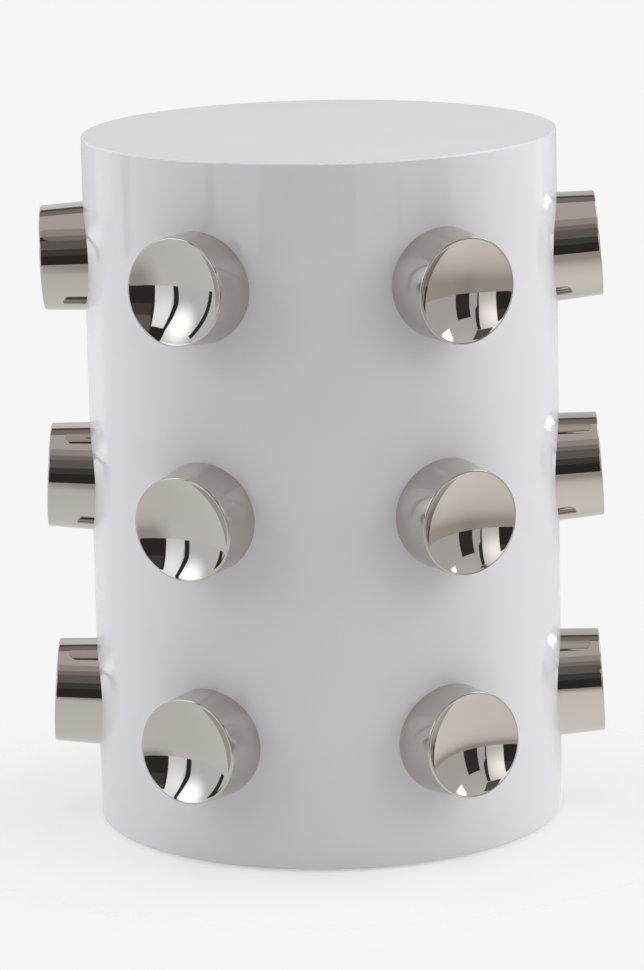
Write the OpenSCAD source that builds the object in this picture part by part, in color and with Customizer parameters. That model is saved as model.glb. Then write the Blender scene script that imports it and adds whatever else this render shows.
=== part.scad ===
// Round side table: a closed lacquered drum with dished metal knobs set round its wall.
// Millimetres, +Z up. The origin is on the floor, under the middle of the drum.
// The front of the table faces -Y, between two columns of knobs.

/* [Drum] */
// Outside diameter of the drum
drum_d = 380; // [320:5:460]
// Height of the drum, from the lower edge of the wall to the table top
drum_h = 558; // [510:2:700]
// Thickness of the bent wall
wall_t = 18; // [16:0.5:24]
// Radius on the lower outer edge of the wall
wall_foot_r = 1; // [0.5:0.25:3]
// Thickness of the top panel, without its step
top_t = 18; // [12:1:30]
// Depth of the step under the top panel that sits inside the wall
top_step_h = 6; // [3:0.5:12]
// Radius on the outer edge of the table top
top_edge_r = 1.5; // [0.5:0.25:4]

/* [Knobs] */
// Height from one row of knobs to the next
row_pitch = 181; // [100:1:200]
// Diameter of a knob at its rim
knob_rim_d = 84; // [60:1:100]
// Diameter of a knob at the end that is let into the wall
knob_base_d = 86.8; // [84:0.2:96]
// How far the rim stands out from the drum
knob_stand = 33.5; // [28:0.5:50]
// Radius on the outer edge of the rim
knob_edge_r = 1.2; // [0.6:0.1:2]
// Depth of the dish in the face of a knob
dish_depth = 12; // [6:0.5:14]
// Thickness of a knob's cast side and face
knob_shell_t = 4; // [3:0.5:6]
// Diameter of the tapped boss inside a knob
boss_d = 20; // [16:1:28]
// Depth of a knob's flat seat in the wall, where the curve leaves it shallowest
seat_lip = 1; // [0.5:0.25:3]

/* [Knob fixings] */
// Thread diameter of the bolts that hold the knobs
bolt_d = 8; // [6:1:10]
// Length of a bolt under its head
bolt_l = 30; // [26:1:34]
// Width of a bolt head across its flats
bolt_flats = 13; // [10:1:17]
// Height of a bolt head
bolt_head_h = 5.3; // [4:0.1:7]
// Outside diameter of the washers under the bolt heads
washer_d = 24; // [18:1:30]
// Thickness of the washers
washer_t = 2; // [1:0.5:3]
// Depth of the flat seat for a washer in the inside of the wall
washer_seat_h = 1; // [0.5:0.25:2]
// Length that a bolt's hole is tapped past the end of the bolt
tap_run = 2; // [1:0.5:3]

/* [Inner rings] */
// Thickness of the two rings that stiffen the wall between the rows of knobs
ring_t = 18; // [12:1:24]
// Width of the stiffening rings
ring_w = 30; // [20:1:60]

/* [Base] */
// How far the base panel is set up inside the wall
base_recess = 6; // [3:0.5:16]
// Thickness of the base panel
base_t = 15; // [13:1:20]
// Thickness of the cleat ring that the base panel is screwed to
cleat_t = 18; // [16:1:24]
// Width of the cleat ring
cleat_w = 28; // [22:1:40]
// Number of screws that hold the base panel
base_screw_count = 6; // [4:1:12]
// Thread diameter of the base screws
base_screw_d = 4; // [3:0.5:5]
// Length of the base screws
base_screw_l = 28; // [22:1:29]

/* [Glides] */
// Number of plastic glides under the base
glide_count = 6; // [3:1:12]
// Diameter of a glide
glide_d = 30; // [20:1:40]
// How far the glides hold the wall off the floor
glide_stand = 2; // [1:0.5:6]
// Width of the slope round the lower edge of a glide
glide_chamfer = 1.5; // [0.5:0.25:3]
// Distance from the inside of the wall to the middle of a glide
glide_inset = 30; // [22:1:60]
// Depth of the hole in a glide that hides its screw head
glide_bore_h = 4; // [3:0.25:6]
// Thread diameter of the glide screws
glide_screw_d = 3.5; // [3:0.5:4]
// Length of the glide screws under the head
glide_screw_l = 16; // [10:1:16]

/* [Fits] */
// Gap between a knob and the side of its seat
seat_gap = 0.3; // [0.2:0.05:0.6]
// Width of the glue line between the wall and what is glued inside it
glue_gap = 0.2; // [0.1:0.05:0.4]
// Gap round the loose base panel
panel_gap = 0.8; // [0.4:0.1:0.9]
// Gap on each side of a bolt or screw in a plain hole
hole_gap = 0.5; // [0.3:0.05:0.8]
// Gap on each side of a thread in its tapped or pilot hole
thread_gap = 0.1; // [0.05:0.05:0.2]

/* [Hidden] */
$fn = 120;
// Overrun of a cutting shape past the face that it cuts
cut = 1;

// Wood screws, as multiples of the thread diameter: head width, pan head's height, the width
// of its flat crown and length of the point
head_ratio = 2;
pan_height_ratio = 0.6;
pan_crown_ratio = 1.6;
point_ratio = 1.2;
// Half the angle of a countersunk head
countersink = 45;

// The drum
drum_r = drum_d / 2;
bore_r = drum_r - wall_t;
wall_z = glide_stand;
wall_h = drum_h - top_t;
top_z = wall_z + wall_h;
middle_z = wall_z + drum_h / 2;

// The knobs, by row from the top down and by column from the front right round to the front left
row_names = ["upper", "middle", "lower"];
column_names = ["front_right", "right", "back_right", "back_left", "left", "front_left"];
rows = [0:len(row_names) - 1];
columns = [0:len(column_names) - 1];
column_step = 360 / len(column_names);

// A knob's seat is a flat pocket, deep enough to leave no part of the knob's end on the curve
seat_r = knob_base_d / 2 + seat_gap;
seat_curve = drum_r - sqrt(pow(drum_r, 2) - pow(seat_r, 2));
seat_floor = drum_r - seat_curve - seat_lip;
knob_l = drum_r + knob_stand - seat_floor;
knob_rim_r = knob_rim_d / 2;
dish_rim_r = knob_rim_r - knob_edge_r;
dish_r = (pow(dish_rim_r, 2) + pow(dish_depth, 2)) / (2 * dish_depth);
dish_centre_z = knob_l + dish_r - dish_depth;

// The fixings, as distances from the drum's axis
washer_floor = bore_r + washer_seat_h;
washer_seat_r = washer_d / 2 + hole_gap;
bolt_seat = washer_floor - washer_t;
tap_depth = bolt_seat + bolt_l - seat_floor + tap_run;
bolt_corner_d = bolt_flats / cos(30);

// The base
base_z = wall_z + base_recess;
cleat_z = base_z + base_t;
base_screw_ring = bore_r - cleat_w / 2;
glide_ring = bore_r - glide_inset;
glide_h = base_recess + glide_stand;
glide_bore_r = glide_screw_d * head_ratio / 2 + hole_gap;

lacquer = [0.94, 0.94, 0.95];
nickel = [0.78, 0.76, 0.72];
board = [0.74, 0.61, 0.45];
plywood = [0.82, 0.69, 0.50];
zinc = [0.74, 0.75, 0.78];
nylon = [0.88, 0.88, 0.85];

function knob_name(row, column) = str("knob_", row_names[row], "_", column_names[column]);
function row_z(row) = middle_z + row_pitch * ((len(row_names) - 1) / 2 - row);
function column_angle(column) = column_step * (column + 0.5);
function ring_z(side) = middle_z + side * row_pitch / 2 - ring_t / 2;

// Turns what is drawn along +Z into something that points out through the wall at one knob
module at_knob(row, column) {
    rotate([0, 0, column_angle(column)])
        translate([0, 0, row_z(row)])
            rotate([90, 0, 0])
                children();
}

module at_each_knob() {
    for (row = rows, column = columns)
        at_knob(row, column) children();
}

// Repeats something round a circle, starting part of a step round
module round_the_ring(ring_r, count, start) {
    for (i = [0:count - 1])
        rotate([0, 0, (i + start) * 360 / count])
            translate([ring_r, 0, 0])
                children();
}

module tube(outer_r, inner_r, h) {
    difference() {
        cylinder(r = outer_r, h = h);
        translate([0, 0, -cut]) cylinder(r = inner_r, h = h + 2 * cut);
    }
}

// The waste outside a rounded corner whose arc has its centre at the origin
module corner_waste(r) {
    difference() {
        square(r + cut);
        circle(r = r);
    }
}

// A countersunk screw that points up, with its head flush at z = 0
module countersunk_screw(d, l) {
    head_r = d * head_ratio / 2;
    cone_h = (head_r - d / 2) / tan(countersink);
    rotate_extrude()
        polygon([
            [0, 0], [head_r, 0], [d / 2, cone_h], [d / 2, l - d * point_ratio], [0, l]
        ]);
}

// The hole for a countersunk screw, open below and up to the height h
module countersunk_hole(d, h) {
    hole_r = d / 2 + hole_gap;
    mouth_r = d * head_ratio / 2 + hole_gap;
    cone_h = (mouth_r - hole_r) / tan(countersink);
    translate([0, 0, -cut]) cylinder(r = hole_r, h = h + 2 * cut);
    rotate_extrude()
        polygon([[0, -cut], [mouth_r, -cut], [mouth_r, 0], [hole_r, cone_h], [0, cone_h]]);
}

// A pan-head screw that points up, with the underside of its head at z = 0
module pan_head_screw(d, l) {
    head_r = d * head_ratio / 2;
    head_h = d * pan_height_ratio;
    crown_r = d * pan_crown_ratio / 2;
    rotate_extrude()
        polygon([
            [0, -head_h], [crown_r, -head_h], [head_r, -head_h / 2], [head_r, 0],
            [d / 2, 0], [d / 2, l - d * point_ratio], [0, l]
        ]);
}

// The bent wall, with a flat seat for every knob outside and for every washer inside
module drum_wall() {
    color(lacquer)
        difference() {
            translate([0, 0, wall_z])
                rotate_extrude()
                    difference() {
                        translate([bore_r, 0]) square([wall_t, wall_h]);
                        translate([drum_r - wall_foot_r, wall_foot_r])
                            mirror([0, 1]) corner_waste(wall_foot_r);
                    }
            at_each_knob() {
                translate([0, 0, seat_floor]) cylinder(r = seat_r, h = wall_t);
                translate([0, 0, washer_floor - wall_t]) cylinder(r = washer_seat_r, h = wall_t);
                translate([0, 0, washer_floor - cut])
                    cylinder(r = bolt_d / 2 + hole_gap, h = seat_floor - washer_floor + 2 * cut);
            }
        }
}

// The table top, stepped underneath so that it drops into the wall
module top_panel() {
    color(lacquer)
        union() {
            translate([0, 0, top_z])
                rotate_extrude()
                    difference() {
                        square([drum_r, top_t]);
                        translate([drum_r - top_edge_r, top_t - top_edge_r])
                            corner_waste(top_edge_r);
                    }
            translate([0, 0, top_z - top_step_h])
                cylinder(r = bore_r - glue_gap, h = top_step_h + cut);
        }
}

// One cast knob: a flared cup with a dished face and a tapped boss, drawn along +Z from its seat
module knob_casting() {
    flank_h = knob_l - knob_edge_r;
    flare = (knob_base_d / 2 - knob_rim_r) / flank_h;
    inner_base_r = knob_base_d / 2 - knob_shell_t;
    inner_top_r = inner_base_r - flare * knob_l;
    difference() {
        union() {
            difference() {
                rotate_extrude()
                    difference() {
                        polygon([
                            [0, 0], [knob_base_d / 2, 0], [knob_rim_r, flank_h],
                            [knob_rim_r, knob_l], [0, knob_l]
                        ]);
                        translate([dish_rim_r, flank_h]) corner_waste(knob_edge_r);
                    }
                difference() {
                    translate([0, 0, -cut])
                        cylinder(r1 = inner_base_r + flare * cut, r2 = inner_top_r, h = knob_l + cut);
                    translate([0, 0, dish_centre_z]) sphere(r = dish_r + knob_shell_t);
                }
            }
            cylinder(r = boss_d / 2, h = knob_l - dish_depth - knob_shell_t / 2);
        }
        translate([0, 0, dish_centre_z]) sphere(r = dish_r);
        translate([0, 0, -cut]) cylinder(r = bolt_d / 2 + thread_gap, h = tap_depth + cut);
    }
}

module knob(row, column) {
    color(nickel)
        at_knob(row, column)
            translate([0, 0, seat_floor])
                knob_casting();
}

// The bolts go in from inside the drum and pull each knob down on its seat
module knob_bolts() {
    color(zinc)
        at_each_knob()
            translate([0, 0, bolt_seat]) {
                cylinder(d = bolt_d, h = bolt_l);
                translate([0, 0, -bolt_head_h])
                    cylinder(d = bolt_corner_d, h = bolt_head_h, $fn = 6);
            }
}

module knob_washers() {
    color(zinc)
        at_each_knob()
            translate([0, 0, bolt_seat])
                tube(washer_d / 2, bolt_d / 2 + hole_gap, washer_t);
}

// The stiffening rings stand midway between two rows of knobs
module stiffening_ring(side) {
    color(plywood)
        translate([0, 0, ring_z(side)])
            tube(bore_r - glue_gap, bore_r - ring_w, ring_t);
}

module upper_ring() {
    stiffening_ring(1);
}

module lower_ring() {
    stiffening_ring(-1);
}

module base_cleat() {
    color(plywood)
        difference() {
            translate([0, 0, cleat_z])
                tube(bore_r - glue_gap, bore_r - cleat_w, cleat_t);
            round_the_ring(base_screw_ring, base_screw_count, 0)
                translate([0, 0, base_z])
                    cylinder(r = base_screw_d / 2 + thread_gap, h = base_screw_l + tap_run);
        }
}

// The base panel is loose in the wall, so that the knobs' bolts can be reached
module base_panel() {
    color(board)
        difference() {
            translate([0, 0, base_z])
                cylinder(r = bore_r - panel_gap, h = base_t);
            round_the_ring(base_screw_ring, base_screw_count, 0)
                translate([0, 0, base_z])
                    countersunk_hole(base_screw_d, base_t);
            round_the_ring(glide_ring, glide_count, 0.5)
                translate([0, 0, base_z - cut])
                    cylinder(
                        r = glide_screw_d / 2 + thread_gap,
                        h = glide_screw_l - glide_h + glide_bore_h + cut
                    );
        }
}

module base_screws() {
    color(zinc)
        round_the_ring(base_screw_ring, base_screw_count, 0)
            translate([0, 0, base_z])
                countersunk_screw(base_screw_d, base_screw_l);
}

module glides() {
    color(nylon)
        round_the_ring(glide_ring, glide_count, 0.5)
            difference() {
                rotate_extrude()
                    polygon([
                        [0, 0], [glide_d / 2 - glide_chamfer, 0], [glide_d / 2, glide_chamfer],
                        [glide_d / 2, glide_h], [0, glide_h]
                    ]);
                translate([0, 0, -cut]) cylinder(r = glide_bore_r, h = glide_bore_h + cut);
                cylinder(r = glide_screw_d / 2 + hole_gap, h = glide_h + cut);
            }
}

module glide_screws() {
    color(zinc)
        round_the_ring(glide_ring, glide_count, 0.5)
            translate([0, 0, glide_bore_h])
                pan_head_screw(glide_screw_d, glide_screw_l);
}

drum_wall();
top_panel();
upper_ring();
lower_ring();
base_cleat();
base_panel();
knob_bolts();
knob_washers();
base_screws();
glides();
glide_screws();
for (row = rows, column = columns)
    knob(row, column);
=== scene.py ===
# Round side table: a closed drum in white lacquer, with dished nickel knobs in three rows round it.
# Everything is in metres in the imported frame: +Z up, the front faces -Y, the floor is z = 0.
import math

import bpy
from mathutils import Euler, Matrix, Vector


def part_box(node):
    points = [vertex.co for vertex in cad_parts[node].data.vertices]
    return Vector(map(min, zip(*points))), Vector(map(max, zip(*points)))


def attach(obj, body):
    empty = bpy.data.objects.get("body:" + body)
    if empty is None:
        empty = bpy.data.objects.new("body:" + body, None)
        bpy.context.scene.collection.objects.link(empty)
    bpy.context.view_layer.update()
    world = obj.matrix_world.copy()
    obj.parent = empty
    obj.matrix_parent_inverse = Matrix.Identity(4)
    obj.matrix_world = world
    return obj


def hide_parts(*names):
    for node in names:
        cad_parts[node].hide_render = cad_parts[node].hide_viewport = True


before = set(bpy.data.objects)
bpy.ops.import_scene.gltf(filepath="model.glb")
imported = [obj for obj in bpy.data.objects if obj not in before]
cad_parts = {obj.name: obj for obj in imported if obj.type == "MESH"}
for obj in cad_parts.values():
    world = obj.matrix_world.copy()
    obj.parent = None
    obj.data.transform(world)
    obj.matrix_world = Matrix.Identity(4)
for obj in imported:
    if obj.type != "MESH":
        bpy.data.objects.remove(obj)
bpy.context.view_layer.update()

MM = 0.001

# The photograph's height and the camera's focal length, both in its pixels, and the camera fitted to the
# table's outlines: how far off and how high it stands in metres, and its angles in degrees
PHOTO_H_PX = 970
FOCAL_PX = 4293.6
SENSOR_MM = 36.0
CAMERA_REACH = 3.4141
CAMERA_HEIGHT = 1.0174
CAMERA_AZIMUTH = 0.215
CAMERA_YAW = 0.049
CAMERA_DOWN = 12.359
CAMERA_ROLL = -1.192

# The drum, from the frame
DRUM_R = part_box("top_panel")[1].x
DRUM_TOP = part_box("top_panel")[1].z
DRUM_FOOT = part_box("drum_wall")[0].z
DRUM_MIDDLE = Vector((0.0, 0.0, (DRUM_FOOT + DRUM_TOP) / 2))

# The knobs: what the frame gives, and the sizes of the casting. SEAT_FIT is how much wider, in radius, a
# foot is made than the frame's, to close the gap round its seat.
ROWS = ("upper", "middle", "lower")
COLUMNS = ("front_right", "right", "back_right", "back_left", "left", "front_left")
COLUMN_STEP = math.tau / len(COLUMNS)
KNOB_LOW, KNOB_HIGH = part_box("knob_middle_right")
KNOB_SEAT = KNOB_LOW.x
KNOB_L = KNOB_HIGH.x - KNOB_LOW.x
KNOB_BASE_R = (KNOB_HIGH.y - KNOB_LOW.y) / 2
SEAT_DEPTH = DRUM_R - KNOB_SEAT
SEAT_FIT = 0.6 * MM
KNOB_RIM_R = 42.0 * MM
KNOB_EDGE_R = 1.2 * MM
DISH_DEPTH = 12.0 * MM
KNOB_SHELL = 4.0 * MM
BOSS_R = 10.0 * MM
TAPPED_R = 4.1 * MM
TAPPED_DEPTH = 19.06 * MM
KNOB_SEGMENTS = 144
DISH_STEPS = 32
EDGE_STEPS = 10

# How far each knob in view leans on its seat, in degrees: upwards, and round towards the right
KNOB_LEAN = {
    "knob_upper_front_left": (3.0, 0.0), "knob_upper_front_right": (-3.0, 0.0),
    "knob_upper_left": (-1.5, 0.0), "knob_upper_right": (4.5, -1.0),
    "knob_middle_front_left": (-4.5, 2.0), "knob_middle_front_right": (-2.75, 0.0),
    "knob_middle_left": (3.0, 0.0), "knob_middle_right": (3.8, -1.0),
    "knob_lower_front_left": (1.5, 0.0), "knob_lower_front_right": (3.5, 1.0),
    "knob_lower_left": (3.5, 0.0), "knob_lower_right": (3.0, -1.0),
}

# How close together points are welded, from which angle an edge is sharp, and the radius of the circle
# that carries an outline round
WELD = 0.002 * MM
SHARP = math.radians(25)
LATHE_R = 0.1


def linear(hex_colour):
    """An sRGB hex colour as linear RGBA."""
    parts = [int(hex_colour[i:i + 2], 16) / 255 for i in (1, 3, 5)]
    bright = [c / 12.92 if c <= 0.04045 else ((c + 0.055) / 1.055) ** 2.4 for c in parts]
    return (*bright, 1.0)


def add(tree, kind, inputs=None, **settings):
    """Adds a node with its settings, and fills its inputs with values or with links from sockets."""
    node = tree.nodes.new(kind)
    for name, value in settings.items():
        setattr(node, name, value)
    for key, value in (inputs or {}).items():
        if isinstance(value, bpy.types.NodeSocket):
            tree.links.new(value, node.inputs[key])
        else:
            node.inputs[key].default_value = value
    return node


def finish_material(name):
    """A new material with nothing in its tree yet, and the tree."""
    material = bpy.data.materials.new(name)
    material.use_nodes = True
    tree = material.node_tree
    tree.nodes.clear()
    return material, tree


def show(tree, shader):
    """Makes a shader the surface of its material."""
    add(tree, "ShaderNodeOutputMaterial", {"Surface": shader.outputs[0]})


def polished_nickel():
    """Cast metal, buffed and nickel plated: a warm mirror, with the slow waves and small ripples that a
    buffing wheel leaves and a faint haze where cloths have rubbed it."""
    wave = 22.0 * MM
    wave_height = 0.05 * MM
    ripple = 6.0 * MM
    ripple_height = 0.006 * MM
    smudge = 9.0 * MM
    material, tree = finish_material("polished_nickel_plate")
    place = add(tree, "ShaderNodeTexCoord").outputs["Object"]
    waves = add(tree, "ShaderNodeTexNoise", {"Vector": place, "Scale": 1 / wave, "Detail": 1.0})
    wavy = add(tree, "ShaderNodeBump", {
        "Strength": 1.0, "Distance": wave_height, "Height": waves.outputs[0],
    })
    ripples = add(tree, "ShaderNodeTexNoise", {"Vector": place, "Scale": 1 / ripple, "Detail": 1.0})
    bump = add(tree, "ShaderNodeBump", {
        "Strength": 1.0, "Distance": ripple_height,
        "Height": ripples.outputs[0], "Normal": wavy.outputs["Normal"],
    })
    smudges = add(tree, "ShaderNodeTexNoise", {"Vector": place, "Scale": 1 / smudge, "Detail": 4.0})
    haze = add(tree, "ShaderNodeMapRange", {
        "Value": smudges.outputs[0], "From Min": 0.35, "From Max": 0.75, "To Min": 0.02, "To Max": 0.05,
    })
    surface = add(tree, "ShaderNodeBsdfPrincipled", {
        "Base Color": linear("#CEC8C1"), "Metallic": 1.0,
        "Roughness": haze.outputs["Result"], "Normal": bump.outputs["Normal"],
    })
    show(tree, surface)
    return material


def gloss_lacquer():
    """Fibreboard sprayed with white polyurethane lacquer, flatted and polished: a bright even
    white under a clear wet-looking gloss, with a trace of orange peel."""
    peel = 5.0 * MM
    peel_height = 0.002 * MM
    sag = 70.0 * MM
    sag_height = 0.02 * MM
    material, tree = finish_material("white_polyurethane_lacquer")
    place = add(tree, "ShaderNodeTexCoord").outputs["Object"]
    sags = add(tree, "ShaderNodeTexNoise", {"Vector": place, "Scale": 1 / sag, "Detail": 1.0})
    sag_bump = add(tree, "ShaderNodeBump", {
        "Strength": 1.0, "Distance": sag_height, "Height": sags.outputs[0],
    })
    peels = add(tree, "ShaderNodeTexNoise", {"Vector": place, "Scale": 1 / peel, "Detail": 2.0})
    peel_bump = add(tree, "ShaderNodeBump", {
        "Strength": 1.0, "Distance": peel_height,
        "Height": peels.outputs[0], "Normal": sag_bump.outputs["Normal"],
    })
    tint = add(tree, "ShaderNodeMapRange", {
        "Value": sags.outputs[0], "From Min": 0.3, "From Max": 0.7, "To Min": 0.0, "To Max": 1.0,
    })
    white = add(tree, "ShaderNodeMix", {
        "Factor": tint.outputs["Result"], "A": linear("#ECEBF1"), "B": linear("#EEEDF3"),
    }, data_type="RGBA")
    surface = add(tree, "ShaderNodeBsdfPrincipled", {
        "Base Color": white.outputs[2], "Roughness": 0.35, "IOR": 1.5, "Specular IOR Level": 0.0,
        "Coat Weight": 1.0, "Coat Roughness": 0.01, "Coat IOR": 1.5,
        "Coat Normal": peel_bump.outputs["Normal"],
    })
    show(tree, surface)
    return material


def birch_plywood():
    """Birch plywood, cut and left bare: thin veneers in light and dark lines round every cut edge, and
    long pale grain on the faces."""
    veneer = 1.4 * MM
    grain_long = 90.0 * MM
    grain_wide = 3.0 * MM
    grain_height = 0.05 * MM
    wave_radians = 20
    face_up = 0.7
    material, tree = finish_material("birch_plywood")
    place = add(tree, "ShaderNodeTexCoord").outputs["Object"]
    stretched = add(tree, "ShaderNodeMapping", {
        "Vector": place, "Scale": (1 / grain_long, 1 / grain_wide, 1 / grain_wide),
    })
    grain = add(tree, "ShaderNodeTexNoise", {
        "Vector": stretched.outputs["Vector"], "Scale": 1.0, "Detail": 5.0, "Distortion": 0.3,
    })
    face = add(tree, "ShaderNodeMix", {
        "Factor": grain.outputs[0], "A": linear("#C9A877"), "B": linear("#E3CDA4"),
    }, data_type="RGBA")
    lines = add(tree, "ShaderNodeTexWave", {
        "Vector": place, "Scale": math.tau / (wave_radians * 2 * veneer), "Distortion": 0.4,
        "Detail": 1.0, "Detail Scale": 2.0,
    }, bands_direction="Z", wave_profile="SIN")
    veneers = add(tree, "ShaderNodeMapRange", {
        "Value": lines.outputs[1], "From Min": 0.35, "From Max": 0.65, "To Min": 0.0, "To Max": 1.0,
    })
    edge = add(tree, "ShaderNodeMix", {
        "Factor": veneers.outputs["Result"], "A": linear("#9A7448"), "B": linear("#D6BB8A"),
    }, data_type="RGBA")
    normal = add(tree, "ShaderNodeNewGeometry").outputs["Normal"]
    parts = add(tree, "ShaderNodeSeparateXYZ", {"Vector": normal})
    level = add(tree, "ShaderNodeMath", {0: parts.outputs["Z"]}, operation="ABSOLUTE")
    on_face = add(tree, "ShaderNodeMath", {0: level.outputs[0], 1: face_up}, operation="GREATER_THAN")
    wood = add(tree, "ShaderNodeMix", {
        "Factor": on_face.outputs[0], "A": edge.outputs[2], "B": face.outputs[2],
    }, data_type="RGBA")
    bump = add(tree, "ShaderNodeBump", {
        "Strength": 1.0, "Distance": grain_height, "Height": grain.outputs[0],
    })
    surface = add(tree, "ShaderNodeBsdfPrincipled", {
        "Base Color": wood.outputs[2], "Roughness": 0.62, "Normal": bump.outputs["Normal"],
    })
    show(tree, surface)
    return material


def raw_fibreboard():
    """Medium-density fibreboard, sawn and left bare: an even tan with fine flecks of fibre and soft
    darker clouds from pressing."""
    fleck = 0.9 * MM
    cloud = 45.0 * MM
    fibre_height = 0.03 * MM
    material, tree = finish_material("raw_fibreboard")
    place = add(tree, "ShaderNodeTexCoord").outputs["Object"]
    clouds = add(tree, "ShaderNodeTexNoise", {"Vector": place, "Scale": 1 / cloud, "Detail": 3.0})
    tan = add(tree, "ShaderNodeMix", {
        "Factor": clouds.outputs[0], "A": linear("#A98760"), "B": linear("#BB9A72"),
    }, data_type="RGBA")
    flecks = add(tree, "ShaderNodeTexNoise", {
        "Vector": place, "Scale": 1 / fleck, "Detail": 4.0, "Roughness": 0.7,
    })
    dark = add(tree, "ShaderNodeMapRange", {
        "Value": flecks.outputs[0], "From Min": 0.52, "From Max": 0.72, "To Min": 0.0, "To Max": 0.55,
    })
    board = add(tree, "ShaderNodeMix", {
        "Factor": dark.outputs["Result"], "A": tan.outputs[2], "B": linear("#7C5D3C"),
    }, data_type="RGBA")
    bump = add(tree, "ShaderNodeBump", {
        "Strength": 1.0, "Distance": fibre_height, "Height": flecks.outputs[0],
    })
    surface = add(tree, "ShaderNodeBsdfPrincipled", {
        "Base Color": board.outputs[2], "Roughness": 0.85, "Normal": bump.outputs["Normal"],
    })
    show(tree, surface)
    return material


def zinc_plate():
    """Steel fasteners, barrel plated in zinc: a cool silver, slightly cloudy, with a trace of yellow
    and blue from the passivation, and small scuffs from tumbling."""
    patch = 3.0 * MM
    scuff = 0.5 * MM
    scuff_height = 0.006 * MM
    material, tree = finish_material("bright_zinc_plated_steel")
    place = add(tree, "ShaderNodeTexCoord").outputs["Object"]
    patches = add(tree, "ShaderNodeTexNoise", {"Vector": place, "Scale": 1 / patch, "Detail": 2.0})
    tint = add(tree, "ShaderNodeMix", {
        "Factor": patches.outputs[0], "A": linear("#C3C9D2"), "B": linear("#D6D2C4"),
    }, data_type="RGBA")
    scuffs = add(tree, "ShaderNodeTexNoise", {"Vector": place, "Scale": 1 / scuff, "Detail": 3.0})
    dull = add(tree, "ShaderNodeMapRange", {
        "Value": scuffs.outputs[0], "From Min": 0.35, "From Max": 0.7, "To Min": 0.22, "To Max": 0.42,
    })
    bump = add(tree, "ShaderNodeBump", {
        "Strength": 1.0, "Distance": scuff_height, "Height": scuffs.outputs[0],
    })
    surface = add(tree, "ShaderNodeBsdfPrincipled", {
        "Base Color": tint.outputs[2], "Metallic": 1.0, "Roughness": dull.outputs["Result"],
        "Normal": bump.outputs["Normal"],
    })
    show(tree, surface)
    return material


def moulded_nylon():
    """Injection-moulded nylon: a milky off-white with the fine satin grain of the mould, a little
    greyer where the floor has rubbed it."""
    grain = 0.35 * MM
    grain_height = 0.012 * MM
    rub = 6.0 * MM
    material, tree = finish_material("moulded_nylon")
    place = add(tree, "ShaderNodeTexCoord").outputs["Object"]
    rubs = add(tree, "ShaderNodeTexNoise", {"Vector": place, "Scale": 1 / rub, "Detail": 4.0})
    worn = add(tree, "ShaderNodeMapRange", {
        "Value": rubs.outputs[0], "From Min": 0.45, "From Max": 0.75, "To Min": 0.0, "To Max": 1.0,
    })
    milky = add(tree, "ShaderNodeMix", {
        "Factor": worn.outputs["Result"], "A": linear("#DEDBD0"), "B": linear("#C6C2B6"),
    }, data_type="RGBA")
    grains = add(tree, "ShaderNodeTexNoise", {"Vector": place, "Scale": 1 / grain, "Detail": 2.0})
    bump = add(tree, "ShaderNodeBump", {
        "Strength": 1.0, "Distance": grain_height, "Height": grains.outputs[0],
    })
    surface = add(tree, "ShaderNodeBsdfPrincipled", {
        "Base Color": milky.outputs[2], "Roughness": 0.42, "Subsurface Weight": 0.15,
        "Subsurface Radius": (1.5 * MM, 1.4 * MM, 1.2 * MM), "Subsurface Scale": 1.0,
        "Normal": bump.outputs["Normal"],
    })
    show(tree, surface)
    return material


def arc(centre, radius, start, end, steps):
    """Points (r, z) along an arc, from one angle to another in radians, counted from +r towards +z."""
    turns = [start + (end - start) * i / steps for i in range(steps + 1)]
    return [(centre[0] + radius * math.cos(t), centre[1] + radius * math.sin(t)) for t in turns]


def knob_outline():
    """Half the section of a knob, from the middle of its dish round to the end of its tapped hole. Its
    foot is a little wider than its seat, so that the flank meets the drum's surface with no gap."""
    edge = (KNOB_RIM_R - KNOB_EDGE_R, KNOB_L - KNOB_EDGE_R)
    rise = (edge[0] ** 2 - DISH_DEPTH ** 2) / (2 * DISH_DEPTH)
    dish = (0.0, edge[1] + rise)
    dish_r = dish[1] - (KNOB_L - DISH_DEPTH)
    lean = math.atan2(edge[0], rise)
    foot_r = KNOB_BASE_R + SEAT_FIT
    flare = math.atan2(foot_r - KNOB_RIM_R, edge[1])
    down = -math.pi / 2
    inside_r = KNOB_RIM_R - KNOB_SHELL
    under_r = dish_r + KNOB_SHELL
    points = arc(dish, dish_r, down, down + lean, DISH_STEPS)
    points += arc(edge, KNOB_EDGE_R, math.pi / 2 + lean, flare, EDGE_STEPS)[1:]
    points += [(foot_r, 0.0), (foot_r - KNOB_SHELL, 0.0)]
    points += arc(dish, under_r, down + math.asin(inside_r / under_r),
                  down + math.asin(BOSS_R / under_r), EDGE_STEPS)
    points += [(BOSS_R, 0.0), (TAPPED_R, 0.0), (TAPPED_R, TAPPED_DEPTH), (0.0, TAPPED_DEPTH)]
    return points


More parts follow.
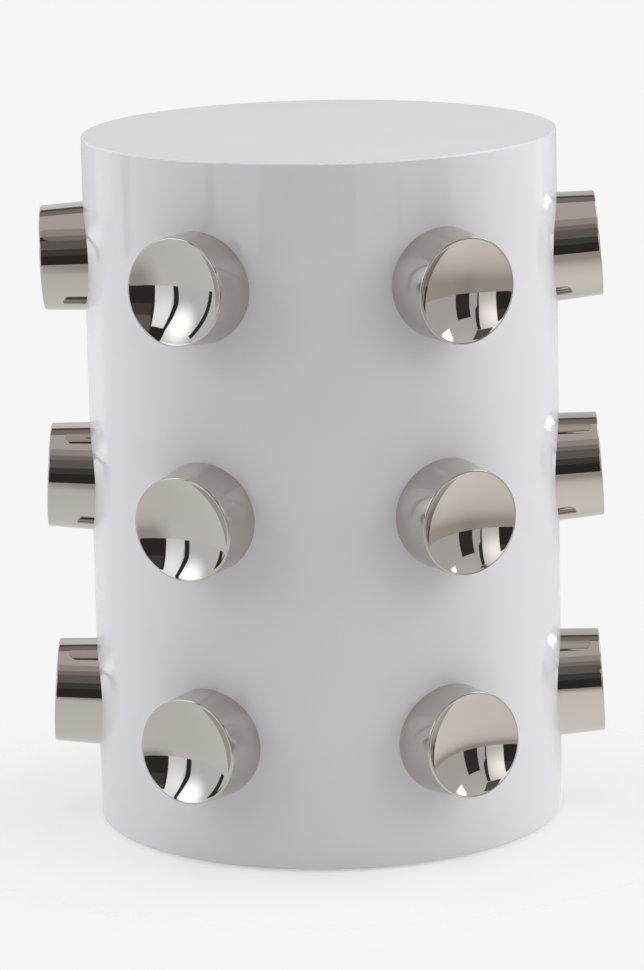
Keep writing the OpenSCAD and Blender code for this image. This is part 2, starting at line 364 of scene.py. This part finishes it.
def lathe_tree():
    """Turns an outline round +Z, tips the piece over to point out along -Y, leans it where the drum's
    surface passes through it, and carries it out to its seat, up to its row and round to its column."""
    tree = bpy.data.node_groups.new("turned_piece", "GeometryNodeTree")
    tree.is_modifier = True
    sockets = (
        ("Outline", "NodeSocketGeometry"), ("Lathe Radius", "NodeSocketFloat"),
        ("Segments", "NodeSocketInt"), ("Weld", "NodeSocketFloat"), ("Sharp Angle", "NodeSocketFloat"),
        ("Seat", "NodeSocketFloat"), ("Seat Depth", "NodeSocketFloat"), ("Lean Up", "NodeSocketFloat"),
        ("Lean Round", "NodeSocketFloat"), ("Column", "NodeSocketFloat"), ("Row", "NodeSocketFloat"),
        ("Material", "NodeSocketMaterial"),
    )
    for name, kind in sockets:
        tree.interface.new_socket(name, in_out="INPUT", socket_type=kind)
    tree.interface.new_socket("Geometry", in_out="OUTPUT", socket_type="NodeSocketGeometry")
    given = add(tree, "NodeGroupInput").outputs
    circle = add(tree, "GeometryNodeCurvePrimitiveCircle", {
        "Resolution": given["Segments"], "Radius": given["Lathe Radius"],
    })
    profile = add(tree, "GeometryNodeMeshToCurve", {"Mesh": given["Outline"]})
    turned = add(tree, "GeometryNodeCurveToMesh", {
        "Curve": circle.outputs["Curve"], "Profile Curve": profile.outputs["Curve"],
    })
    welded = add(tree, "GeometryNodeMergeByDistance", {
        "Geometry": turned.outputs["Mesh"], "Distance": given["Weld"],
    })
    smooth = add(tree, "GeometryNodeSetShadeSmooth", {"Geometry": welded.outputs["Geometry"]})
    angle = add(tree, "GeometryNodeInputMeshEdgeAngle")
    crisp = add(tree, "FunctionNodeCompare", {
        0: angle.outputs["Unsigned Angle"], 1: given["Sharp Angle"],
    }, operation="GREATER_THAN")
    edged = add(tree, "GeometryNodeSetShadeSmooth", {
        "Geometry": smooth.outputs["Geometry"], "Selection": crisp.outputs["Result"],
        "Shade Smooth": False,
    }, domain="EDGE")
    sunk = add(tree, "ShaderNodeCombineXYZ", {"Y": given["Seat Depth"]})
    tipped = add(tree, "GeometryNodeTransform", {
        "Geometry": edged.outputs["Geometry"], "Translation": sunk.outputs["Vector"],
        "Rotation": Euler((math.pi / 2, 0.0, 0.0)),
    })
    up = add(tree, "ShaderNodeMath", {0: given["Lean Up"], 1: -1.0}, operation="MULTIPLY")
    lean = add(tree, "ShaderNodeCombineXYZ", {"X": up.outputs[0], "Z": given["Lean Round"]})
    reach = add(tree, "ShaderNodeMath", {0: given["Seat"], 1: given["Seat Depth"]}, operation="ADD")
    out_to = add(tree, "ShaderNodeMath", {0: reach.outputs[0], 1: -1.0}, operation="MULTIPLY")
    seat = add(tree, "ShaderNodeCombineXYZ", {"Y": out_to.outputs[0], "Z": given["Row"]})
    seated = add(tree, "GeometryNodeTransform", {
        "Geometry": tipped.outputs["Geometry"], "Translation": seat.outputs["Vector"],
        "Rotation": lean.outputs["Vector"],
    })
    turn = add(tree, "ShaderNodeCombineXYZ", {"Z": given["Column"]})
    placed = add(tree, "GeometryNodeTransform", {
        "Geometry": seated.outputs["Geometry"], "Rotation": turn.outputs["Vector"],
    })
    real = add(tree, "GeometryNodeRealizeInstances", {"Geometry": placed.outputs["Geometry"]})
    dressed = add(tree, "GeometryNodeSetMaterial", {
        "Geometry": real.outputs["Geometry"], "Material": given["Material"],
    })
    add(tree, "NodeGroupOutput", {"Geometry": dressed.outputs["Geometry"]})
    return tree


def grown(name, start, tree, values):
    """Runs a tree on a start mesh and returns the result as an object with a plain mesh."""
    source = bpy.data.objects.new(name + "_source", start)
    bpy.context.scene.collection.objects.link(source)
    modifier = source.modifiers.new("shape", "NODES")
    modifier.node_group = tree
    for socket in tree.interface.items_tree:
        if socket.in_out == "INPUT" and socket.name in values:
            modifier[socket.identifier] = values[socket.name]
    plain = bpy.data.meshes.new_from_object(source.evaluated_get(bpy.context.evaluated_depsgraph_get()))
    source.modifiers.remove(modifier)
    bpy.data.objects.remove(source)
    piece = bpy.data.objects.new(name, plain)
    bpy.context.scene.collection.objects.link(piece)
    return piece


def outline_mesh(name, points):
    """An outline of (r, z) points as the open line that the lathe tree sweeps."""
    mesh = bpy.data.meshes.new(name)
    edges = [(i, i + 1) for i in range(len(points) - 1)]
    mesh.from_pydata([(r - LATHE_R, -z, 0.0) for r, z in points], edges, [])
    return mesh


def make_knobs(metal):
    """The 18 knobs, each its own turned casting in place of its node."""
    tree = lathe_tree()
    outline = outline_mesh("knob_outline", knob_outline())
    for row in ROWS:
        low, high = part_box(f"knob_{row}_right")
        for i, column in enumerate(COLUMNS):
            name = f"knob_{row}_{column}"
            up, around = KNOB_LEAN.get(name, (0.0, 0.0))
            piece = grown(name + "_casting", outline, tree, {
                "Lathe Radius": LATHE_R, "Segments": KNOB_SEGMENTS, "Weld": WELD, "Sharp Angle": SHARP,
                "Seat": KNOB_SEAT, "Seat Depth": SEAT_DEPTH, "Lean Up": math.radians(up),
                "Lean Round": math.radians(around), "Column": (i + 0.5) * COLUMN_STEP,
                "Row": (low.z + high.z) / 2, "Material": metal,
            })
            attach(piece, "root")
            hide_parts(name)


def dress(nodes, material):
    """Gives carried-over nodes their finish."""
    for name in nodes:
        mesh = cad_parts[name].data
        mesh.materials.clear()
        mesh.materials.append(material)


def make_camera():
    """The photograph's camera: where it stood, where it looked, and its slight roll."""
    azimuth, yaw, down, roll = (
        math.radians(a) for a in (CAMERA_AZIMUTH, CAMERA_AZIMUTH + CAMERA_YAW, CAMERA_DOWN, CAMERA_ROLL)
    )
    ahead = Vector((-math.sin(yaw) * math.cos(down), math.cos(yaw) * math.cos(down), -math.sin(down)))
    level = ahead.cross(Vector((0.0, 0.0, 1.0))).normalized()
    upright = level.cross(ahead)
    right = math.cos(roll) * level + math.sin(roll) * upright
    up = -math.sin(roll) * level + math.cos(roll) * upright
    turn = Matrix((right, up, -ahead)).transposed()
    data = bpy.data.cameras.new("camera")
    data.sensor_width = SENSOR_MM
    data.lens = FOCAL_PX * SENSOR_MM / PHOTO_H_PX
    data.clip_start = 0.05
    data.clip_end = 100.0
    camera = bpy.data.objects.new("camera", data)
    place = Vector((CAMERA_REACH * math.sin(azimuth), -CAMERA_REACH * math.cos(azimuth), CAMERA_HEIGHT))
    camera.matrix_world = Matrix.Translation(place) @ turn.to_4x4()
    bpy.context.scene.collection.objects.link(camera)
    bpy.context.scene.camera = camera


def toward(azimuth, elevation, distance):
    """The point at a direction, in degrees, and a distance from the middle of the drum."""
    a, e = math.radians(azimuth), math.radians(elevation)
    around = Vector((math.sin(a) * math.cos(e), -math.cos(a) * math.cos(e), math.sin(e)))
    return DRUM_MIDDLE + around * distance


# The background, and the dim even light from all round
BACKGROUND = "#F6F6F6"
AMBIENT = 0.2

# The floor: a white disc with a lift that only the camera sees. It lets FADE_LEAST of the background
# through at the table's foot, and more from FADE_FROM out, until it is gone at FADE_TO.
FLOOR_R = 3.4
FLOOR_WHITE = "#EEEEEC"
FLOOR_LIFT = 0.17
FADE_FROM = 0.19
FADE_TO = 0.46
FADE_LEAST = 0.4

# The floor's light and shade as the gloss sees it, painted as a glow in linear RGB by azimuth: by the
# table, and further off. Its dips are painted shadow: the drum's by the table on the front left, and
# further off at the front and by the dark square on the right. The peak further off at the back on the
# left is a painted pool of light.
NEAR_R = 0.35
FAR_R = 1.4
NEAR_PAINTED_TONES = (
    (-180, (0.74, 0.74, 0.75)),
    (-110, (0.77, 0.78, 0.79)),
    (-36, (0.70, 0.71, 0.71)),
    (0, (0.78, 0.77, 0.74)),
    (80, (0.89, 0.89, 0.865)),
    (130, (0.76, 0.76, 0.76)),
    (180, (0.74, 0.74, 0.75)),
)
FAR_PAINTED_TONES = (
    (-180, (0.73, 0.73, 0.74)),
    (-166, (0.77, 0.80, 0.82)),
    (-131, (1.04, 1.09, 1.12)),
    (-127, (0.74, 0.76, 0.78)),
    (-36, (0.73, 0.75, 0.77)),
    (-18, (0.42, 0.41, 0.40)),
    (36, (0.43, 0.41, 0.385)),
    (49, (0.37, 0.355, 0.32)),
    (64, (0.43, 0.41, 0.37)),
    (110, (0.46, 0.44, 0.40)),
    (150, (0.71, 0.71, 0.72)),
    (180, (0.73, 0.73, 0.74)),
)

# The soft lamps, all at one distance: name, azimuth, elevation, width, height, watts
LAMP_DISTANCE = 2.4
LAMPS = (
    ("left_softbox", -69.0, 27.0, 1.4, 1.8, 14.0),
    ("left_back_softbox", -115.0, 20.0, 1.2, 1.8, 14.5),
    ("right_softbox", 67.0, 25.0, 1.8, 1.8, 17.2),
    ("right_back_softbox", 110.0, 25.0, 1.2, 1.8, 19.5),
    ("overhead_softbox", 0.0, 86.0, 2.2, 2.2, 23.2),
)

# The panels that the gloss mirrors: name, distance, brightness as linear RGB, rows from the bottom up as
# (elevation, azimuth of one side, azimuth of the other), and for a panel with a brighter middle that
# middle's azimuth, elevation, radius and how many times brighter it is. Of two that overlap, the nearer
# one shows.
CARDS = (
    ("dark_flag", 3.1, (0.036, 0.032, 0.034), ((-5, -28, 17), (31, -28, 17))),
    ("dark_flag_side", 3.12, (0.034, 0.030, 0.032), ((25, -28, -12), (38, -28, -12), (52, -34, -14))),
    ("dark_flag_high", 3.08, (0.072, 0.068, 0.068), ((14, -25, 17), (28, -25, 17))),
    ("grey_flag_low", 3.05, (0.165, 0.152, 0.145), ((26.5, -25, 17), (34, -26, 18), (45, -28, 24))),
    ("grey_flag_middle", 3.0, (0.26, 0.242, 0.232), ((44, -26, 24), (54, -34, 32))),
    ("grey_flag_high", 2.9, (0.40, 0.385, 0.37), ((53, -34, 32), (66, -50, 46))),
    ("white_panel", 3.2, (0.86, 0.90, 0.96), ((-5, -49, -27), (38, -46, -27)), (-38, 24, 1.7, 1.45)),
    ("dark_over_panel", 3.1, (0.034, 0.030, 0.032), ((37.5, -48, -27), (41, -49, -27), (52, -50, -33))),
    ("dark_edge", 3.0, (0.035, 0.038, 0.045), ((-5, -55, -49), (12, -56, -50), (40, -48.5, -44))),
    ("left_wall", 3.3, (0.69, 0.73, 0.77), ((-5, -116, -47), (52, -116, -43)), (-66, 30, 1.5, 2.9)),
    ("left_stand", 2.9, (0.04, 0.04, 0.04), ((-5, -107, -101), (12, -101, -95), (34, -92, -86))),
    ("right_panel", 3.2, (0.72, 0.72, 0.73), ((-5, 16, 37), (33, 16, 40)), (21, 20, 1.4, 2.0)),
    ("right_stand", 3.1, (0.05, 0.05, 0.05),
     ((-5, 36, 37.5), (8, 36.5, 38.5), (12, 37, 41.5), (32, 40, 44.5))),
    ("right_boom", 3.05, (0.12, 0.11, 0.11), ((32.5, 16, 46), (37, 18, 52), (40, 34, 60), (43, 40, 62))),
    ("right_wall", 3.3, (0.56, 0.56, 0.56), ((-5, 36, 126), (52, 36, 126)), (72, 46, 2.2, 1.25)),
    ("right_square", 3.1, (0.045, 0.04, 0.04), ((-6, 47, 64), (18, 48, 65))),
    ("right_window", 3.1, (1.9, 1.9, 1.9), ((21, 81, 97), (30, 83, 95))),
    ("right_high_softbox", 3.1, (2.45, 2.6, 2.75), ((35, 98, 134), (42, 89, 134), (54, 84, 128))),
    ("back_wall", 3.35, (0.57, 0.57, 0.575), ((-5, 134, 226), (16, 134, 226))),
    ("back_wall_left", 3.3, (0.74, 0.76, 0.80), ((14, 180, 226), (43, 180, 226))),
    ("back_wall_right", 3.3, (0.60, 0.60, 0.62), ((14, 134, 180), (43, 134, 180))),
    ("back_rail", 3.2, (0.12, 0.11, 0.105), ((42, 126, 234), (51, 126, 234))),
    ("back_over", 3.25, (0.25, 0.235, 0.22), ((49, 126, 234), (69, 126, 234))),
)
CARD_STEP = 5.0

# The ceiling, seen by the gloss alone
CEILING = 3.0
CEILING_FRONT = -2.2
CEILING_BACK = 1.05
CEILING_SIDE = 3.5
CEILING_GREY = (0.57, 0.56, 0.55)


def glowing(name, brightness):
    """A material that glows evenly, and its tree and emission node."""
    material, tree = finish_material(name)
    glow = add(tree, "ShaderNodeEmission", {"Color": (*brightness, 1.0), "Strength": 1.0})
    show(tree, glow)
    return material, tree, glow


def card_object(name, material, points, faces):
    """A stage object that only the gloss sees: it takes no part in the light, and no camera sees it."""
    mesh = bpy.data.meshes.new(name)
    mesh.from_pydata(points, [], faces)
    mesh.materials.append(material)
    card = bpy.data.objects.new(name, mesh)
    bpy.context.scene.collection.objects.link(card)
    card.visible_camera = False
    card.visible_diffuse = False
    card.visible_shadow = False
    card.visible_transmission = False
    card.visible_volume_scatter = False


def card_grid(distance, rows):
    """Points and faces of a panel that keeps its distance from the table, between rows that each give an
    elevation and the azimuths of the two sides."""
    across = max(1, math.ceil(max(abs(right - left) for _, left, right in rows) / CARD_STEP))
    levels = []
    for low, high in zip(rows, rows[1:]):
        steps = max(1, math.ceil((high[0] - low[0]) / CARD_STEP))
        levels += [[a + (b - a) * i / steps for a, b in zip(low, high)] for i in range(steps)]
    levels.append(rows[-1])
    points = [toward(left + (right - left) * i / across, elevation, distance)
              for elevation, left, right in levels for i in range(across + 1)]
    wide = across + 1
    faces = [(j * wide + i, j * wide + i + 1, (j + 1) * wide + i + 1, (j + 1) * wide + i)
             for j in range(len(levels) - 1) for i in range(across)]
    return points, faces


def make_card(name, distance, brightness, rows, middle=None):
    """A panel of the studio, even or with a brighter middle, seen only in the table's gloss."""
    material, tree, glow = glowing(name, brightness)
    if middle:
        azimuth, elevation, radius, core = middle
        place = add(tree, "ShaderNodeTexCoord").outputs["Object"]
        away = add(tree, "ShaderNodeVectorMath", {
            0: place, 1: toward(azimuth, elevation, distance),
        }, operation="DISTANCE")
        shine = add(tree, "ShaderNodeMapRange", {
            "Value": away.outputs["Value"], "From Min": 0.0, "From Max": radius,
            "To Min": core, "To Max": 1.0,
        }, interpolation_type="SMOOTHSTEP")
        tree.links.new(shine.outputs["Result"], glow.inputs["Strength"])
    card_object(name, material, *card_grid(distance, rows))


def make_ceiling():
    """The grey ceiling over the studio, seen only in the table's gloss."""
    card_object("ceiling", glowing("ceiling", CEILING_GREY)[0], [
        (-CEILING_SIDE, CEILING_FRONT, CEILING), (CEILING_SIDE, CEILING_FRONT, CEILING),
        (CEILING_SIDE, CEILING_BACK, CEILING), (-CEILING_SIDE, CEILING_BACK, CEILING),
    ], [(0, 1, 2, 3)])


def make_lamp(name, azimuth, elevation, width, height, watts):
    """A soft white lamp that lights the table and is not mirrored in it."""
    data = bpy.data.lights.new(name, "AREA")
    data.shape = "RECTANGLE"
    data.size = width
    data.size_y = height
    data.energy = watts
    lamp = bpy.data.objects.new(name, data)
    lamp.location = toward(azimuth, elevation, LAMP_DISTANCE)
    aim = DRUM_MIDDLE - lamp.location
    lamp.rotation_euler = aim.to_track_quat("-Z", "Y").to_euler()
    lamp.visible_glossy = False
    bpy.context.scene.collection.objects.link(lamp)


def ramp(tree, factor, stops):
    """A colour ramp over azimuths in degrees, from -180 to 180."""
    node = add(tree, "ShaderNodeValToRGB", {"Fac": factor})
    elements = node.color_ramp.elements
    while len(elements) < len(stops):
        elements.new(0.5)
    for element, (degrees, tone) in zip(elements, stops):
        element.position = (degrees + 180) / 360
        element.color = (*tone, 1.0)
    return node.outputs["Color"]


def painted_floor_glow(tree, place, reach):
    """The floor's light and shade as the gloss sees it, painted as a glow: pale by the table, with
    painted shadow making it darker further off at the front and on the right, and a painted pool of
    light making it brightest further off at the back on the left."""
    parts = add(tree, "ShaderNodeSeparateXYZ", {"Vector": place})
    back = add(tree, "ShaderNodeMath", {0: parts.outputs["Y"], 1: -1.0}, operation="MULTIPLY")
    azimuth = add(tree, "ShaderNodeMath", {
        0: parts.outputs["X"], 1: back.outputs[0],
    }, operation="ARCTAN2")
    turn = add(tree, "ShaderNodeMapRange", {
        "Value": azimuth.outputs[0], "From Min": -math.pi, "From Max": math.pi,
    })
    off = add(tree, "ShaderNodeMapRange", {
        "Value": reach.outputs["Value"], "From Min": NEAR_R, "From Max": FAR_R,
    }, interpolation_type="SMOOTHSTEP")
    tone = add(tree, "ShaderNodeMix", {
        "Factor": off.outputs["Result"], "A": ramp(tree, turn.outputs["Result"], NEAR_PAINTED_TONES),
        "B": ramp(tree, turn.outputs["Result"], FAR_PAINTED_TONES),
    }, data_type="RGBA")
    return add(tree, "ShaderNodeEmission", {"Color": tone.outputs[2], "Strength": 1.0})


def make_floor():
    """A pale floor that takes the table's shadow and fades into the background round it."""
    material, tree = finish_material("pale_floor")
    place = add(tree, "ShaderNodeTexCoord").outputs["Object"]
    reach = add(tree, "ShaderNodeVectorMath", {0: place}, operation="LENGTH")
    # In the gloss the floor shows this painted glow of light and shade in place of its lit surface.
    mirrored = painted_floor_glow(tree, place, reach)
    fade = add(tree, "ShaderNodeMapRange", {
        "Value": reach.outputs["Value"], "From Min": FADE_FROM, "From Max": FADE_TO,
        "To Min": FADE_LEAST,
    }, interpolation_type="SMOOTHSTEP")
    ray = add(tree, "ShaderNodeLightPath").outputs
    gone = add(tree, "ShaderNodeMath", {
        0: fade.outputs["Result"], 1: ray["Is Camera Ray"],
    }, operation="MULTIPLY")
    side = add(tree, "ShaderNodeNewGeometry").outputs["Backfacing"]
    clear = add(tree, "ShaderNodeMath", {0: gone.outputs[0], 1: side}, operation="MAXIMUM")
    lift = add(tree, "ShaderNodeMath", {0: ray["Is Camera Ray"], 1: FLOOR_LIFT}, operation="MULTIPLY")
    matt = add(tree, "ShaderNodeBsdfDiffuse", {"Color": linear(FLOOR_WHITE)})
    glow = add(tree, "ShaderNodeEmission", {"Color": linear("#FFFFFF"), "Strength": lift.outputs[0]})
    lit = add(tree, "ShaderNodeAddShader", {0: matt.outputs[0], 1: glow.outputs[0]})
    # Glossy rays get the painted glow, and all other rays get the lit floor.
    shown = add(tree, "ShaderNodeMixShader", {
        0: ray["Is Glossy Ray"], 1: lit.outputs[0], 2: mirrored.outputs[0],
    })
    through = add(tree, "ShaderNodeBsdfTransparent")
    mixed = add(tree, "ShaderNodeMixShader", {
        0: clear.outputs[0], 1: shown.outputs[0], 2: through.outputs[0],
    })
    show(tree, mixed)
    steps = 96
    mesh = bpy.data.meshes.new("floor")
    rim = [(FLOOR_R * math.cos(math.tau * i / steps), FLOOR_R * math.sin(math.tau * i / steps), 0.0)
           for i in range(steps)]
    mesh.from_pydata(rim, [], [tuple(range(steps))])
    mesh.materials.append(material)
    floor = bpy.data.objects.new("floor", mesh)
    bpy.context.scene.collection.objects.link(floor)


def make_world():
    """A pale background that the camera, the gloss and any glass see, over a dim even light."""
    world = bpy.data.worlds.new("studio")
    bpy.context.scene.world = world
    world.use_nodes = True
    tree = world.node_tree
    tree.nodes.clear()
    ray = add(tree, "ShaderNodeLightPath").outputs
    seen = add(tree, "ShaderNodeMath", {
        0: ray["Is Camera Ray"], 1: ray["Is Glossy Ray"],
    }, operation="MAXIMUM")
    shown = add(tree, "ShaderNodeMath", {
        0: seen.outputs[0], 1: ray["Is Transmission Ray"],
    }, operation="MAXIMUM")
    dim = add(tree, "ShaderNodeBackground", {"Color": linear("#FFFFFF"), "Strength": AMBIENT})
    pale = add(tree, "ShaderNodeBackground", {"Color": linear(BACKGROUND), "Strength": 1.0})
    mixed = add(tree, "ShaderNodeMixShader", {
        0: shown.outputs[0], 1: dim.outputs[0], 2: pale.outputs[0],
    })
    add(tree, "ShaderNodeOutputWorld", {"Surface": mixed.outputs[0]})


def make_studio():
    """The lamps, the panels and ceiling for the gloss, the floor, the background and the plain view."""
    for row in LAMPS:
        make_lamp(*row)
    for row in CARDS:
        make_card(*row)
    make_ceiling()
    make_floor()
    make_world()
    bpy.context.scene.view_settings.view_transform = "Standard"


make_camera()
make_knobs(polished_nickel())
dress(("drum_wall", "top_panel"), gloss_lacquer())
dress(("upper_ring", "lower_ring", "base_cleat"), birch_plywood())
dress(("base_panel",), raw_fibreboard())
dress(("knob_bolts", "knob_washers", "base_screws", "glide_screws"), zinc_plate())
dress(("glides",), moulded_nylon())
make_studio()
